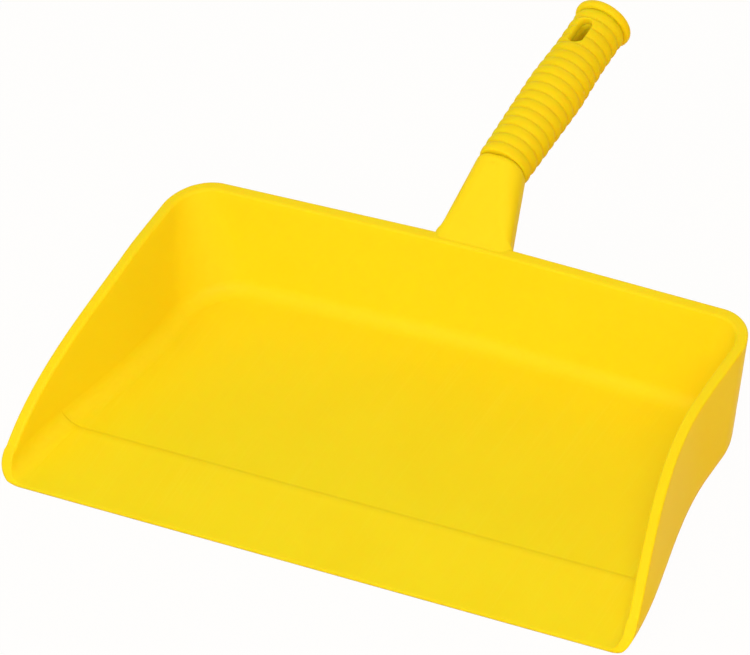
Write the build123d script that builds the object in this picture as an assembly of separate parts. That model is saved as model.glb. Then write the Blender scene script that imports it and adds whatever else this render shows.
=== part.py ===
import math
import os

from build123d import *

# Driving dimensions of the pan, in millimetres and degrees. Y runs back from the lip, Z up from the ground.
# A taper is how much narrower than the lip a place is. Some sizes differ between the base and the rim.
LIP_WIDTH = 330.0
LIP_THICKNESS = 1.4
LIP_CORNER_RADIUS = 2.2
MIDDLE_DEPTH = 46.0
MIDDLE_BASE_TAPER = 16.4
MIDDLE_RIM_TAPER = 10.8
STRAIGHT_SIDE = 6.0
WAIST_BASE_TAPER = 38.2
WAIST_RIM_TAPER = 27.0
BACK_DEPTH = 146.6
BACK_BOW_ANGLE = 1.48
BACK_BOW_RADIUS = 1100.0
BACK_RAKE = 15.5
BASE_CORNER_RADIUS = 36.0
RIM_CORNER_RADIUS = 21.0
WALL = 5.4
RIM_HEIGHT = 50.4
SIDE_ARC_RADIUS = 176.0
SIDE_FRONT_HEIGHT = 4.2
NOSE_STEP = 0.4
NOSE_BULGE = 0.9
NOSE_MARGIN = 2.5
RIM_OUTER_RADIUS = 0.8
RIM_INNER_RADIUS = 1.5
BASE_EDGE_RADIUS = 11.0
INNER_EDGE_RADIUS = 8.0

# Floor of the pan: a ramp behind the lip rolls over a crest, and the floor behind it lies a little lower
CREST_DEPTH = 39.9
CREST_HEIGHT = 4.6
CREST_RADIUS = 6.0
FLOOR_HEIGHT = 3.6
ARCH_FRONT = 6.0
ARCH_BACK = 116.0
ARCH_HEIGHT = 2.1

# Neck from the back wall to the grip's axis: its reach behind the base and its rise above the rim
NECK_BASE_WIDTH = 39.6
NECK_BASE_HEIGHT = 17.0
NECK_BASE_CORNER = 6.0
NECK_ROOT_RADIUS = 3.5
NECK_ROOT_TURNS = (20, 43, 66, 90)
NECK_END_SIZE = 23.2
NECK_END_ROUNDNESS = 0.914
NECK_END_EDGE_RADIUS = 2.0
NECK_REACH = 49.3
NECK_RISE = 15.2
GRIP_RISE = 4.0

# Grip sleeve, the core inside it and the cap that closes the core
RIB_COUNT = 17
RIB_PITCH = 5.42
RIB_HEIGHT = 0.9
GRIP_FRONT_RADIUS = 12.4
GRIP_BELLY_RADIUS = 13.5
GRIP_BELLY_DISTANCE = 50.0
GRIP_TAIL_RADIUS = 12.4
GRIP_TAIL_DISTANCE = 72.0
CORE_RADIUS = 8.5
CORE_BORE_RADIUS = 5.6
CORE_BORE_FRONT = 6.0
CORE_ROOT = 5.0
FIT_CLEARANCE = 0.05
CAP_RADIUS = 13.7
CAP_THICKNESS = 4.4
CAP_EDGE_RADIUS = 2.0
SPIGOT_LENGTH = 30.0

# Hang slot through grip, core and cap
SLOT_CENTRE = 78.0
SLOT_LENGTH = 14.5
SLOT_WIDTH = 6.2
SLOT_MOUTH_RADIUS = 2.6

# Working values
OVER = 10.0
GRIP_LENGTH = RIB_COUNT * RIB_PITCH
GRIP_START_DEPTH = BACK_DEPTH + NECK_REACH
GRIP_START_HEIGHT = RIM_HEIGHT + NECK_RISE
NECK_END_CORNER = NECK_END_ROUNDNESS * NECK_END_SIZE / 2
ARC_DROP = SIDE_ARC_RADIUS - RIM_HEIGHT
ARC_END = math.sqrt(SIDE_ARC_RADIUS**2 - (ARC_DROP + SIDE_FRONT_HEIGHT) ** 2)
TALL = RIM_HEIGHT + OVER
NOSE_HEIGHT = max(BASE_EDGE_RADIUS, LIP_THICKNESS + INNER_EDGE_RADIUS) + NOSE_MARGIN
ARC_START = ARC_END - math.sqrt(SIDE_ARC_RADIUS**2 - (ARC_DROP + NOSE_HEIGHT) ** 2)
BLEND_RADIUS = 4.0
BLEND_GAP = 0.6
BACK_BOW = (LIP_WIDTH - WAIST_RIM_TAPER) / 2 * math.tan(math.radians(BACK_BOW_ANGLE))
BEHIND = 2 * BACK_DEPTH
AHEAD = -8.0
UNDER = -10.0
NEAR = 0.02
GRAZE = 0.1
UPWARD = (Align.CENTER, Align.CENTER, Align.MIN)
DOWNWARD = (Align.CENTER, Align.CENTER, Align.MAX)

# Frames: the rim's back wall at its middle, the grip's axis, and the hang slot square to that axis
rake = math.radians(BACK_RAKE)
rise = math.radians(GRIP_RISE)
RIM_FRAME = Plane(
    origin=(0, BACK_DEPTH + BACK_BOW - WALL + RIM_INNER_RADIUS + RIM_HEIGHT * math.tan(rake), RIM_HEIGHT),
    x_dir=(1, 0, 0),
    z_dir=(0, math.cos(rake), -math.sin(rake)),
)
GRIP_FRAME = Plane(
    origin=(0, GRIP_START_DEPTH, GRIP_START_HEIGHT),
    x_dir=(1, 0, 0),
    z_dir=(0, math.cos(rise), math.sin(rise)),
)
SLOT_FRAME = Plane(
    origin=(
        0,
        GRIP_START_DEPTH + SLOT_CENTRE * math.cos(rise),
        GRIP_START_HEIGHT + SLOT_CENTRE * math.sin(rise),
    ),
    x_dir=(0, math.cos(rise), math.sin(rise)),
    z_dir=(0, -math.sin(rise), math.cos(rise)),
)


def between(base, rim, level):
    """Size at a height, on the straight line through its values at the base and at the rim."""
    return base + (rim - base) * level / RIM_HEIGHT


def plan_face(inset, level):
    """Plan outline of the pan at a height, set in from the outside, running on ahead of the lip."""
    lip_x = LIP_WIDTH / 2 - inset
    middle_x = lip_x - between(MIDDLE_BASE_TAPER, MIDDLE_RIM_TAPER, level) / 2
    waist_x = lip_x - between(WAIST_BASE_TAPER, WAIST_RIM_TAPER, level) / 2
    back = BACK_DEPTH + level * math.tan(rake) - inset
    apex = back + waist_x * math.tan(math.radians(BACK_BOW_ANGLE))
    waist = BACK_DEPTH - BASE_CORNER_RADIUS - STRAIGHT_SIDE
    half = [
        Line((0, AHEAD), (lip_x, AHEAD)),
        Line((lip_x, AHEAD), (lip_x, 0)),
        Edge.make_spline(
            [(lip_x, 0), (middle_x, MIDDLE_DEPTH), (waist_x, waist)],
            tangents=[(0, waist), (0, waist)],
            parameters=[0, MIDDLE_DEPTH / waist, 1],
            scale=False,
        ),
        Line((waist_x, waist), (waist_x, back)),
        Line((waist_x, back), (0, apex)),
    ]
    outline = make_face(half + [mirror(edge, about=Plane.YZ) for edge in half])
    corners = [v for v in outline.vertices() if abs(v.Y - back) < NEAR]
    outline = fillet(corners, between(BASE_CORNER_RADIUS, RIM_CORNER_RADIUS, level) - inset)
    middle = [v for v in outline.vertices() if abs(v.Y - apex) < NEAR]
    outline = fillet(middle, BACK_BOW_RADIUS)
    return Pos(0, 0, level) * outline


def side_prism(points_or_edges):
    """Solid across the whole width whose side view is the given outline in (depth, height)."""
    section = Plane.YZ * make_face(points_or_edges)
    return extrude(section, amount=LIP_WIDTH, both=True)


def polygon_prism(*points):
    return side_prism(Polyline(*points, close=True))


def edges_at_base(solid):
    """Edges between the lowest face and the walls, without the open front."""
    lowest = solid.faces().sort_by(Axis.Z)[0]
    return [edge for edge in lowest.edges() if edge.center().Y > AHEAD + NEAR]


def top_height(depth):
    """Height of the side wall's top edge: an arc that runs into the level rim."""
    if depth > ARC_END:
        return RIM_HEIGHT
    return math.sqrt(SIDE_ARC_RADIUS**2 - (ARC_END - depth) ** 2) - ARC_DROP


def space_above():
    """Space above the walls, which run on level ahead of the lip until the nose is cut."""
    fall = math.asin((ARC_END - ARC_START) / SIDE_ARC_RADIUS)
    level = NOSE_HEIGHT - BLEND_RADIUS * (1 - math.cos(fall))
    blend_start = ARC_START - BLEND_RADIUS * math.sin(fall)
    blend_y = blend_start + BLEND_RADIUS * math.sin(fall / 2)
    blend_z = level + BLEND_RADIUS * (1 - math.cos(fall / 2))
    arc_start = (ARC_START, NOSE_HEIGHT)
    arc_y = (ARC_START + ARC_END) / 2
    run_on = (2 * AHEAD, level)
    return side_prism(
        [
            Line(run_on, (blend_start, level)),
            ThreePointArc((blend_start, level), (blend_y, blend_z), arc_start),
            ThreePointArc(arc_start, (arc_y, top_height(arc_y)), (ARC_END, RIM_HEIGHT)),
            Line((ARC_END, RIM_HEIGHT), (BEHIND, RIM_HEIGHT)),
            Polyline((BEHIND, RIM_HEIGHT), (BEHIND, TALL), (2 * AHEAD, TALL), run_on),
        ]
    )


def lies_on(edge, solid):
    return solid.distance_to(edge @ 0.5) < NEAR and solid.distance_to(edge @ 0.25) < NEAR


def runs_along(edge, above):
    """Whether an edge follows the top of the walls, rather than crossing it."""
    point = edge @ 0.5
    along = abs(point.X) > NEAR or point.Y > BACK_DEPTH
    return along and point.Y > AHEAD + NEAR and lies_on(edge, above)


def ramp_height(depth):
    return LIP_THICKNESS + (CREST_HEIGHT - LIP_THICKNESS) * depth / CREST_DEPTH


def pan_hollow(floor):
    """Space between the walls from a floor height up, open at the front."""
    return loft([plan_face(WALL, floor).face(), plan_face(WALL, TALL).face()], ruled=True)


def over_ramp():
    """Space over the ramp, whose end rolls over in an arc down to the floor at the crest's depth."""
    slope = math.atan2(CREST_HEIGHT - LIP_THICKNESS, CREST_DEPTH)
    fall = (CREST_HEIGHT - FLOOR_HEIGHT) * math.cos(slope)
    turn = math.acos(1 - fall / CREST_RADIUS)
    foot = Vector(CREST_DEPTH, FLOOR_HEIGHT)
    centre = foot - Vector(0, CREST_RADIUS).rotate(Axis.Z, math.degrees(slope - turn))
    roll = centre + Vector(0, CREST_RADIUS).rotate(Axis.Z, math.degrees(slope - turn / 2))
    touch = centre + Vector(0, CREST_RADIUS).rotate(Axis.Z, math.degrees(slope))
    front = (AHEAD, ramp_height(AHEAD))
    return side_prism(
        [
            Line(front, touch),
            ThreePointArc(touch, roll, foot),
            Polyline(foot, (CREST_DEPTH, TALL), (AHEAD, TALL), front),
        ]
    )


def pan_inside():
    """Space inside the pan: over the floor behind the crest, and over the ramp in front of it."""
    behind_crest = polygon_prism((CREST_DEPTH, UNDER), (BEHIND, UNDER), (BEHIND, TALL), (CREST_DEPTH, TALL))
    rear = pan_hollow(FLOOR_HEIGHT)
    rear = fillet(edges_at_base(rear), INNER_EDGE_RADIUS) & behind_crest
    ramp = pan_hollow(0) & over_ramp()
    low_faces = [face for face in ramp.faces() if face.normal_at().Z < -GRAZE]
    ramp_edges = [edge for face in low_faces for edge in face.edges() if abs(edge.center().X) > NEAR]
    return fillet(ramp_edges, INNER_EDGE_RADIUS) + rear


def nose_cut():
    """Space kept behind the lip's front edge and behind the bulging front of the side walls."""
    front = (0, LIP_THICKNESS + NOSE_STEP)
    back_y = ARC_START + BLEND_GAP
    back_z = top_height(back_y) + GRAZE
    reach = math.hypot(back_y, back_z - front[1])
    bulge_y = back_y / 2 - NOSE_BULGE * (back_z - front[1]) / reach
    bulge_z = (front[1] + back_z) / 2 + NOSE_BULGE * back_y / reach
    return side_prism(
        [
            ThreePointArc(front, (bulge_y, bulge_z), (back_y, back_z)),
            Polyline((back_y, back_z), (back_y, TALL), (BEHIND, TALL), (BEHIND, UNDER), (0, UNDER), front),
        ]
    )


def lip_corner():
    """Cutter that rounds the lip's right corner in plan."""
    centre = (LIP_WIDTH / 2 - LIP_CORNER_RADIUS, LIP_CORNER_RADIUS - GRAZE)
    notch = Pos(LIP_WIDTH / 2, 0) * Rectangle(2 * LIP_CORNER_RADIUS, 2 * LIP_CORNER_RADIUS)
    notch = notch - Pos(*centre) * Circle(LIP_CORNER_RADIUS)
    return Pos(0, 0, UNDER) * extrude(notch, amount=TALL)


def pan_shell():
    """Pan without its neck: hollow, with rounded rim and base, and with the front cut to the lip."""
    above = space_above()
    inside = pan_inside()
    shell = loft([plan_face(0, 0).face(), plan_face(0, TALL).face()], ruled=True)
    shell = fillet(edges_at_base(shell), BASE_EDGE_RADIUS) - above
    shell = fillet([edge for edge in shell.edges() if runs_along(edge, above)], RIM_OUTER_RADIUS) - inside
    inner = [edge for edge in shell.edges() if runs_along(edge, above) and lies_on(edge, inside)]
    shell = fillet(inner, RIM_INNER_RADIUS) & nose_cut()
    arch = polygon_prism((ARCH_FRONT, 0), (CREST_DEPTH, ARCH_HEIGHT), (ARCH_BACK, 0))
    corner = lip_corner()
    return shell - corner - mirror(corner, about=Plane.YZ) - arch


def neck_section(out, spread):
    """Section of the neck at a distance out from the rim's inner edge, spread at its sides and below."""
    end_top = RIM_FRAME.to_local_coords(GRIP_FRAME.from_local_coords(Vector(0, -NECK_END_SIZE / 2, 0)))
    end_low = RIM_FRAME.to_local_coords(GRIP_FRAME.from_local_coords(Vector(0, NECK_END_SIZE / 2, 0)))
    top = end_top.Y * out / end_top.Z
    low = NECK_BASE_HEIGHT + (end_low.Y - NECK_BASE_HEIGHT) * out / end_low.Z + spread
    share = 2 * out / (end_top.Z + end_low.Z)
    width = NECK_BASE_WIDTH + (NECK_END_SIZE - NECK_BASE_WIDTH) * share + 2 * spread
    corner = NECK_BASE_CORNER + (NECK_END_CORNER - NECK_BASE_CORNER) * share + spread
    return RIM_FRAME * Pos(0, (top + low) / 2, out) * RectangleRounded(width, low - top, corner)


def neck():
    """Neck from the back wall up to the grip, spread in a hollow curve where it leaves the wall."""
    wall_out = (WALL - RIM_INNER_RADIUS) * math.cos(rake)
    turns = [math.radians(turn) for turn in NECK_ROOT_TURNS]
    sections = [neck_section(0, NECK_ROOT_RADIUS * (1 - math.sin(turns[0])))]
    for turn in turns:
        out = wall_out + NECK_ROOT_RADIUS * (1 - math.cos(turn))
        sections.append(neck_section(out, NECK_ROOT_RADIUS * (1 - math.sin(turn))))
    sections.append(GRIP_FRAME * RectangleRounded(NECK_END_SIZE, NECK_END_SIZE, NECK_END_CORNER))
    body = loft([section.face() for section in sections], ruled=True)
    return fillet(body.faces().sort_by(Axis.Y)[-1].edges(), NECK_END_EDGE_RADIUS)


def core():
    """Hollow tube inside the grip, moulded in one with the neck."""
    tube = Cylinder(CORE_RADIUS, GRIP_LENGTH + CORE_ROOT, align=UPWARD)
    return GRIP_FRAME * Pos(0, 0, -CORE_ROOT) * tube


def core_bore():
    depth = GRIP_LENGTH - CORE_BORE_FRONT
    return GRIP_FRAME * Pos(0, 0, CORE_BORE_FRONT) * Cylinder(CORE_BORE_RADIUS, depth, align=UPWARD)


def hang_slot():
    """Cutter for the hang slot, straight through the grip."""
    return SLOT_FRAME * extrude(SlotOverall(SLOT_LENGTH, SLOT_WIDTH), amount=2 * CAP_RADIUS, both=True)


def slot_mouths():
    """Cylinder just larger than the ribs with the hang slot cut through it and its edges rounded."""
    radius = max(GRIP_FRONT_RADIUS, GRIP_BELLY_RADIUS, GRIP_TAIL_RADIUS) + GRAZE
    solid = GRIP_FRAME * Cylinder(radius, GRIP_LENGTH, align=UPWARD)
    ends = solid.edges()
    solid = solid - hang_slot()
    mouths = [edge for edge in solid.edges() if all(end.distance_to(edge @ 0.5) > NEAR for end in ends)]
    mouths = [edge for edge in mouths if abs(GRIP_FRAME.to_local_coords(edge @ 0.5).Y) > CORE_RADIUS]
    return fillet(mouths, SLOT_MOUTH_RADIUS)


def crest_radius(distance):
    """Radius over the ribs: it swells from the neck to the belly and falls to the tail, then stays."""
    if distance < GRIP_BELLY_DISTANCE:
        return GRIP_FRONT_RADIUS + (GRIP_BELLY_RADIUS - GRIP_FRONT_RADIUS) * distance / GRIP_BELLY_DISTANCE
    share = min((distance - GRIP_BELLY_DISTANCE) / (GRIP_TAIL_DISTANCE - GRIP_BELLY_DISTANCE), 1)
    return GRIP_BELLY_RADIUS + (GRIP_TAIL_RADIUS - GRIP_BELLY_RADIUS) * share


def valley_radius(distance):
    return crest_radius(distance) - RIB_HEIGHT


def grip():
    """Ribbed sleeve over the core: a row of rounded ribs with sharp valleys between them."""
    outline = []
    for rib in range(RIB_COUNT):
        start = rib * RIB_PITCH
        end = start + RIB_PITCH
        middle = (start + end) / 2
        outline.append(
            ThreePointArc(
                (valley_radius(start), start),
                (crest_radius(middle), middle),
                (valley_radius(end), end),
            )
        )
    outline.append(Line((valley_radius(GRIP_LENGTH), GRIP_LENGTH), (0, GRIP_LENGTH)))
    outline.append(Line((0, GRIP_LENGTH), (0, 0)))
    outline.append(Line((0, 0), (valley_radius(0), 0)))
    body = revolve(Plane.XZ * make_face(outline), axis=Axis.Z)
    body = body - Cylinder(CORE_RADIUS + FIT_CLEARANCE, GRIP_LENGTH, align=UPWARD)
    return (GRIP_FRAME * body) & slot_mouths()


def end_cap():
    """Cap with a rounded flange over the grip's end and a spigot in the core's bore."""
    flange = Cylinder(CAP_RADIUS, CAP_THICKNESS, align=UPWARD)
    flange = fillet(flange.edges().filter_by(GeomType.CIRCLE), CAP_EDGE_RADIUS)
    spigot = Cylinder(CORE_BORE_RADIUS - FIT_CLEARANCE, SPIGOT_LENGTH, align=DOWNWARD)
    return GRIP_FRAME * Pos(0, 0, GRIP_LENGTH) * (flange + spigot) - hang_slot()


def pan():
    """Pan, neck and core: one moulding."""
    return pan_shell() + neck() + core() - core_bore() - hang_slot()


nodes = {"pan": pan(), "grip": grip(), "end_cap": end_cap()}
length = nodes["end_cap"].bounding_box().max.Y
os.makedirs("parts", exist_ok=True)
for name, shape in nodes.items():
    export_step(Pos(0, -length / 2, 0) * shape, f"parts/{name}.step")
    print(name, round(shape.volume), shape.is_valid, len(shape.solids()))
print("length", round(length, 2))
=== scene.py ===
import math

import bpy
from mathutils import Matrix, Vector


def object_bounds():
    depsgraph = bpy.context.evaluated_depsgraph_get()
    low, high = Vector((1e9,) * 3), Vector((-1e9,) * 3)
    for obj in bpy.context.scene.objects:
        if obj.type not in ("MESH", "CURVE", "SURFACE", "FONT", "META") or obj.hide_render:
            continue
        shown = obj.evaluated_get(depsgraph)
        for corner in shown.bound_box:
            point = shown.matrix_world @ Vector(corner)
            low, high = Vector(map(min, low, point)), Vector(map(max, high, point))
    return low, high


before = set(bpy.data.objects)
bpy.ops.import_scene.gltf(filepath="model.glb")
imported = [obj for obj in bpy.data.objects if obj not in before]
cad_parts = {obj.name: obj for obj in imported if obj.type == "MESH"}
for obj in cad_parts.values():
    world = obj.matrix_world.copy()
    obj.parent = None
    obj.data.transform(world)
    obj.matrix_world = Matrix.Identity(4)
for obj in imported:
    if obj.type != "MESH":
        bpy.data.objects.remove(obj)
cad_low, cad_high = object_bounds()

# Camera: the point it looks at, its side, height and tilt, and how far away it stands and sees,
# in metres and degrees; lens and sensor in millimetres
AIM = Vector((-0.0515, cad_low.y + 0.14335, 0.0))
CAMERA_AZIMUTH = 41.33
CAMERA_ELEVATION = 41.08
CAMERA_ROLL = -15.5
CAMERA_DISTANCE = 3.4657
CAMERA_REACH = 4 * CAMERA_DISTANCE
CAMERA_LENS = 370.4
SENSOR_WIDTH = 36.0

# Lamps, each with its place, width and watts: soft ones in front at the right and at the left,
# and a low one behind; and the spot that they face
LAMPS = {
    "right_lamp": (Vector((1.5, -1.9, 2.0)), 1.5, 45.0),
    "left_lamp": (Vector((-0.6, -1.7, 1.9)), 1.8, 18.5),
    "back_lamp": (Vector((0.1, 2.3, 0.55)), 1.2, 9.0),
}
LIT_SPOT = Vector((0.0, 0.0, 0.03))

# Even light all round, and a cream floor that shows as white
SKY_STRENGTH = 0.55
FLOOR_SIZE = 12.0
FLOOR_TONE = (0.88, 0.61, 0.22, 1.0)
FLOOR_WHITE_SHARE = 0.97
WHITE = (1.0, 1.0, 1.0, 1.0)
WHITE_STRENGTH = 1.0

# Yellows of the mouldings, in linear light
PAN_YELLOW = (0.885, 0.650, 0.008, 1.0)
PAN_DEEP_YELLOW = (0.865, 0.620, 0.006, 1.0)
GRIP_YELLOW = (0.885, 0.620, 0.006, 1.0)
GRIP_DEEP_YELLOW = (0.855, 0.575, 0.004, 1.0)
RUBBED_YELLOW = (0.90, 0.68, 0.02, 1.0)

# Plastic: its gloss, and how far red, green and blue light sink into it for their depth
GLOSS = 0.07
SUNK_REACH = (1.0, 0.5, 0.05)

# Clouds in the pigment: the noise levels where they start and are full
CLOUD_START = 0.38
CLOUD_FULL = 0.66
CLOUD_DETAIL = 4.0

# Grain of the mould, its depth in metres, and the wide patches in which the roughness wanders
GRAIN_DEPTH = 0.0002
GRAIN_DETAIL = 2.0
PATCH_SCALE = 35.0
PATCH_DETAIL = 3.0
PATCH_MIDDLE = 0.5

# Rubbed edges: rays that feel for an edge, and the cosines of the turn at a full edge and at none
EDGE_RAYS = 6
EDGE_FULL = 0.93
EDGE_NONE = 0.999

# Streaks of sweeping: repeats per metre across, along and up, the noise levels where they start
# and are full, the heights and the upward share of the normal between which they fade, and how
# much they show
STREAK_PITCH = (700.0, 14.0, 14.0)
STREAK_SCALE = 1.0
STREAK_DETAIL = 3.0
STREAK_START = 0.5
STREAK_FULL = 0.75
STREAK_FLOOR = 0.006
STREAK_TOP = 0.012
STREAK_SLOPE = 0.8
STREAK_LEVEL = 0.95
STREAK_COLOUR = 0.35
STREAK_ROUGHNESS = 0.06

FLOAT = "NodeSocketFloat"
COLOUR = "NodeSocketColor"
VECTOR = "NodeSocketVector"
PLASTIC_SHADER = "Principled BSDF"

# Numbers of the Mix node's colour sockets, whose names are not its alone
MIX_SHARE = 0
MIX_FIRST = 6
MIX_SECOND = 7
MIX_RESULT = 2


def feed(tree, socket, value):
    """Links another node's output to a socket, or sets a plain value on it."""
    if isinstance(value, bpy.types.NodeSocket):
        tree.links.new(value, socket)
    else:
        socket.default_value = value


def add_node(tree, kind, inputs=None, **settings):
    """Adds a node with its settings, and feeds its inputs by name or by number."""
    node = tree.nodes.new(kind)
    for name, value in settings.items():
        setattr(node, name, value)
    for key, value in (inputs or {}).items():
        feed(tree, node.inputs[key], value)
    return node


def new_group(name, inputs, outputs):
    """Empty node group with named sockets; gives the group, its input node and its output node."""
    group = bpy.data.node_groups.new(name, "ShaderNodeTree")
    for in_out, sockets in (("INPUT", inputs), ("OUTPUT", outputs)):
        for socket, kind in sockets.items():
            group.interface.new_socket(name=socket, in_out=in_out, socket_type=kind)
    return group, group.nodes.new("NodeGroupInput"), group.nodes.new("NodeGroupOutput")


def grouped(tree, group, inputs):
    """Puts a node group into a material with its own values, and gives its outputs."""
    return add_node(tree, "ShaderNodeGroup", inputs, node_tree=group).outputs


def smooth_step(tree, value, low, high):
    """Zero at the low end of a range and one at its high end, with a smooth run between."""
    inputs = {"Value": value, "From Min": low, "From Max": high}
    step = add_node(tree, "ShaderNodeMapRange", inputs, interpolation_type="SMOOTHSTEP")
    return step.outputs["Result"]


def blend_colour(tree, share, first, second):
    """First colour, with a share of the second in it."""
    inputs = {MIX_SHARE: share, MIX_FIRST: first, MIX_SECOND: second}
    return add_node(tree, "ShaderNodeMix", inputs, data_type="RGBA").outputs[MIX_RESULT]


def reckon(tree, operation, *values):
    """Result of a Math node on values in their order."""
    inputs = dict(enumerate(values))
    return add_node(tree, "ShaderNodeMath", inputs, operation=operation).outputs["Value"]


def surface_place(tree):
    """Point of the surface in its piece's own frame, in metres."""
    return add_node(tree, "ShaderNodeTexCoord").outputs["Object"]


def height_of(tree, vector):
    """Upward share of a vector."""
    return add_node(tree, "ShaderNodeSeparateXYZ", {"Vector": vector}).outputs["Z"]


def noise(tree, place, scale, detail):
    """Soft noise between zero and one."""
    inputs = {"Vector": place, "Scale": scale, "Detail": detail}
    return add_node(tree, "ShaderNodeTexNoise", inputs).outputs["Fac"]


def cloudy_pigment_group():
    """Pigment that lies a little unevenly in the moulding: wide soft clouds between near tones."""
    group, given, result = new_group(
        "cloudy_pigment",
        {"Colour": COLOUR, "Deep Colour": COLOUR, "Cloud Scale": FLOAT, "Amount": FLOAT},
        {"Colour": COLOUR},
    )
    clouds = noise(group, surface_place(group), given.outputs["Cloud Scale"], CLOUD_DETAIL)
    share = smooth_step(group, clouds, CLOUD_START, CLOUD_FULL)
    share = reckon(group, "MULTIPLY", share, given.outputs["Amount"])
    colour = blend_colour(group, share, given.outputs["Colour"], given.outputs["Deep Colour"])
    feed(group, result.inputs["Colour"], colour)
    return group


def mould_grain_group():
    """Fine grain that the mould leaves, as a height, and a roughness that wanders in patches."""
    group, given, result = new_group(
        "mould_grain",
        {"Grain Scale": FLOAT, "Roughness": FLOAT, "Spread": FLOAT},
        {"Height": FLOAT, "Roughness": FLOAT},
    )
    place = surface_place(group)
    grain = noise(group, place, given.outputs["Grain Scale"], GRAIN_DETAIL)
    patches = noise(group, place, PATCH_SCALE, PATCH_DETAIL)
    wander = reckon(group, "SUBTRACT", patches, PATCH_MIDDLE)
    wander = reckon(group, "MULTIPLY", wander, given.outputs["Spread"])
    roughness = reckon(group, "ADD", wander, given.outputs["Roughness"])
    feed(group, result.inputs["Roughness"], roughness)
    feed(group, result.inputs["Height"], grain)
    return group


def rubbed_edge_group():
    """Mask of the edges that use rubs smooth, and the surface's normal rounded over them."""
    group, given, result = new_group(
        "rubbed_edge", {"Radius": FLOAT}, {"Mask": FLOAT, "Normal": VECTOR}
    )
    inputs = {"Radius": given.outputs["Radius"]}
    rounded = add_node(group, "ShaderNodeBevel", inputs, samples=EDGE_RAYS).outputs["Normal"]
    flat = add_node(group, "ShaderNodeNewGeometry").outputs["Normal"]
    inputs = {0: rounded, 1: flat}
    turn = add_node(group, "ShaderNodeVectorMath", inputs, operation="DOT_PRODUCT")
    unrubbed = smooth_step(group, turn.outputs["Value"], EDGE_FULL, EDGE_NONE)
    feed(group, result.inputs["Mask"], reckon(group, "SUBTRACT", 1.0, unrubbed))
    feed(group, result.inputs["Normal"], rounded)
    return group


CLOUDY_PIGMENT = cloudy_pigment_group()
MOULD_GRAIN = mould_grain_group()
RUBBED_EDGE = rubbed_edge_group()


def moulded_plastic(name, tones, clouds, grain, bump_strength, rubbed, sunk):
    """Satin plastic: cloudy pigment, rubbed edges, fine grain, and light that sinks into it."""
    material = bpy.data.materials.new(name)
    material.use_nodes = True
    tree = material.node_tree
    shader = tree.nodes[PLASTIC_SHADER]
    colour, deep_colour = tones
    inputs = {"Colour": colour, "Deep Colour": deep_colour, **clouds}
    pigment = grouped(tree, CLOUDY_PIGMENT, inputs)
    edges = grouped(tree, RUBBED_EDGE, {"Radius": rubbed["radius"]})
    share = reckon(tree, "MULTIPLY", edges["Mask"], rubbed["amount"])
    worn = blend_colour(tree, share, pigment["Colour"], RUBBED_YELLOW)
    feed(tree, shader.inputs["Base Color"], worn)
    texture = grouped(tree, MOULD_GRAIN, grain)
    feed(tree, shader.inputs["Roughness"], texture["Roughness"])
    inputs = {
        "Strength": bump_strength,
        "Distance": GRAIN_DEPTH,
        "Height": texture["Height"],
        "Normal": edges["Normal"],
    }
    bump = add_node(tree, "ShaderNodeBump", inputs)
    feed(tree, shader.inputs["Normal"], bump.outputs["Normal"])
    shader.inputs["Specular IOR Level"].default_value = GLOSS
    shader.inputs["Subsurface Weight"].default_value = sunk["share"]
    shader.inputs["Subsurface Scale"].default_value = sunk["depth"]
    shader.inputs["Subsurface Radius"].default_value = SUNK_REACH
    return material


def sweep_streaks(tree):
    """Mask of the faint streaks that sweeping leaves from front to back on the scoop's floor."""
    place = surface_place(tree)
    drawn_out = add_node(tree, "ShaderNodeMapping", {"Vector": place, "Scale": STREAK_PITCH})
    streaks = noise(tree, drawn_out.outputs["Vector"], STREAK_SCALE, STREAK_DETAIL)
    normal = add_node(tree, "ShaderNodeNewGeometry").outputs["Normal"]
    low = smooth_step(tree, height_of(tree, place), STREAK_TOP, STREAK_FLOOR)
    level = smooth_step(tree, height_of(tree, normal), STREAK_SLOPE, STREAK_LEVEL)
    on_floor = reckon(tree, "MULTIPLY", low, level)
    drawn = smooth_step(tree, streaks, STREAK_START, STREAK_FULL)
    return reckon(tree, "MULTIPLY", drawn, on_floor)


def pan_finish():
    """Satin yellow of the scoop and neck, with faint streaks where dust is swept in."""
    material = moulded_plastic(
        "pan_moulding",
        tones=(PAN_YELLOW, PAN_DEEP_YELLOW),
        clouds={"Cloud Scale": 14.0, "Amount": 0.5},
        grain={"Grain Scale": 1500.0, "Roughness": 0.46, "Spread": 0.1},
        bump_strength=0.12,
        rubbed={"radius": 0.0010, "amount": 0.15},
        sunk={"share": 0.5, "depth": 0.003},
    )
    tree = material.node_tree
    shader = tree.nodes[PLASTIC_SHADER]
    streaks = sweep_streaks(tree)
    colour = shader.inputs["Base Color"]
    share = reckon(tree, "MULTIPLY", streaks, STREAK_COLOUR)
    feed(tree, colour, blend_colour(tree, share, colour.links[0].from_socket, RUBBED_YELLOW))
    roughness = shader.inputs["Roughness"]
    rougher = reckon(tree, "MULTIPLY", streaks, STREAK_ROUGHNESS)
    feed(tree, roughness, reckon(tree, "ADD", roughness.links[0].from_socket, rougher))
    return material


def grip_finish():
    """Deeper, matter yellow of the ribbed sleeve."""
    return moulded_plastic(
        "grip_moulding",
        tones=(GRIP_YELLOW, GRIP_DEEP_YELLOW),
        clouds={"Cloud Scale": 40.0, "Amount": 0.5},
        grain={"Grain Scale": 2200.0, "Roughness": 0.55, "Spread": 0.1},
        bump_strength=0.18,
        rubbed={"radius": 0.0006, "amount": 0.25},
        sunk={"share": 0.8, "depth": 0.005},
    )


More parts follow.
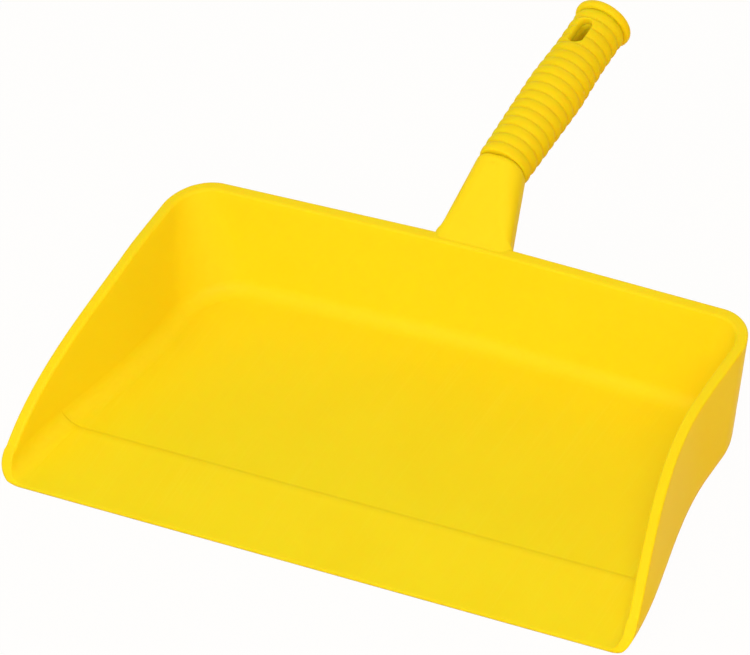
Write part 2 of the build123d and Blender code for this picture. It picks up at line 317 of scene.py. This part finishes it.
def cap_finish():
    """The sleeve's yellow on the end cap, a little smoother where the palm rubs it."""
    return moulded_plastic(
        "cap_moulding",
        tones=(GRIP_YELLOW, GRIP_DEEP_YELLOW),
        clouds={"Cloud Scale": 30.0, "Amount": 0.4},
        grain={"Grain Scale": 2200.0, "Roughness": 0.48, "Spread": 0.1},
        bump_strength=0.14,
        rubbed={"radius": 0.0008, "amount": 0.25},
        sunk={"share": 0.8, "depth": 0.005},
    )


def dress(node, material):
    """Gives a node one finish all over."""
    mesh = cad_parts[node].data
    mesh.materials.clear()
    mesh.materials.append(material)


def background_rays(tree):
    """One for the rays of the camera, gloss and glass, which show the background; else zero."""
    path = add_node(tree, "ShaderNodeLightPath").outputs
    seen = reckon(tree, "MAXIMUM", path["Is Camera Ray"], path["Is Glossy Ray"])
    return reckon(tree, "MAXIMUM", seen, path["Is Transmission Ray"])


def floor_finish():
    """Cream paper that shows as white, with the part's faint shadow on it."""
    material = bpy.data.materials.new("floor_paper")
    material.use_nodes = True
    tree = material.node_tree
    tree.nodes.clear()
    paper = add_node(tree, "ShaderNodeBsdfDiffuse", {"Color": FLOOR_TONE}).outputs["BSDF"]
    inputs = {"Color": WHITE, "Strength": WHITE_STRENGTH}
    glow = add_node(tree, "ShaderNodeEmission", inputs).outputs["Emission"]
    share = reckon(tree, "MULTIPLY", background_rays(tree), FLOOR_WHITE_SHARE)
    mixed = add_node(tree, "ShaderNodeMixShader", {0: share, 1: paper, 2: glow})
    add_node(tree, "ShaderNodeOutputMaterial", {"Surface": mixed.outputs["Shader"]})
    return material


def lay_floor():
    """Level floor that the part stands on."""
    half = FLOOR_SIZE / 2
    mesh = bpy.data.meshes.new("floor")
    corners = [(-half, -half, 0), (half, -half, 0), (half, half, 0), (-half, half, 0)]
    mesh.from_pydata(corners, [], [(0, 1, 2, 3)])
    mesh.materials.append(floor_finish())
    floor = bpy.data.objects.new("floor", mesh)
    floor.location.z = cad_low.z
    bpy.context.scene.collection.objects.link(floor)


def hang_lamp(name, place, size, watts):
    """Square soft lamp that faces the part."""
    lamp = bpy.data.lights.new(name, "AREA")
    lamp.shape = "SQUARE"
    lamp.size = size
    lamp.energy = watts
    holder = bpy.data.objects.new(name, lamp)
    holder.location = place
    holder.rotation_euler = (LIT_SPOT - place).to_track_quat("-Z", "Y").to_euler()
    bpy.context.scene.collection.objects.link(holder)


def even_light():
    """Soft light from all round, which shows as plain white past the floor."""
    world = bpy.data.worlds.new("studio")
    world.use_nodes = True
    tree = world.node_tree
    extra = WHITE_STRENGTH - SKY_STRENGTH
    strength = reckon(tree, "MULTIPLY_ADD", background_rays(tree), extra, SKY_STRENGTH)
    sky = tree.nodes["Background"]
    feed(tree, sky.inputs["Color"], WHITE)
    feed(tree, sky.inputs["Strength"], strength)
    bpy.context.scene.world = world


def set_camera():
    """Camera at the photograph's angle, tilted about its own axis."""
    azimuth = math.radians(CAMERA_AZIMUTH)
    elevation = math.radians(CAMERA_ELEVATION)
    roll = math.radians(CAMERA_ROLL)
    back = Vector(
        (
            math.sin(azimuth) * math.cos(elevation),
            -math.cos(azimuth) * math.cos(elevation),
            math.sin(elevation),
        )
    )
    level = Vector((math.cos(azimuth), math.sin(azimuth), 0.0))
    upright = back.cross(level)
    right = level * math.cos(roll) + upright * math.sin(roll)
    up = upright * math.cos(roll) - level * math.sin(roll)
    turn = Matrix((right, up, back)).transposed().to_4x4()
    lens = bpy.data.cameras.new("camera")
    lens.lens = CAMERA_LENS
    lens.sensor_width = SENSOR_WIDTH
    lens.clip_end = CAMERA_REACH
    camera = bpy.data.objects.new("camera", lens)
    camera.matrix_world = Matrix.Translation(AIM + back * CAMERA_DISTANCE) @ turn
    bpy.context.scene.collection.objects.link(camera)
    bpy.context.scene.camera = camera


dress("pan", pan_finish())
dress("grip", grip_finish())
dress("end_cap", cap_finish())
lay_floor()
for lamp_name, (lamp_place, lamp_size, lamp_watts) in LAMPS.items():
    hang_lamp(lamp_name, lamp_place, lamp_size, lamp_watts)
even_light()
set_camera()
bpy.context.scene.view_settings.view_transform = "Standard"
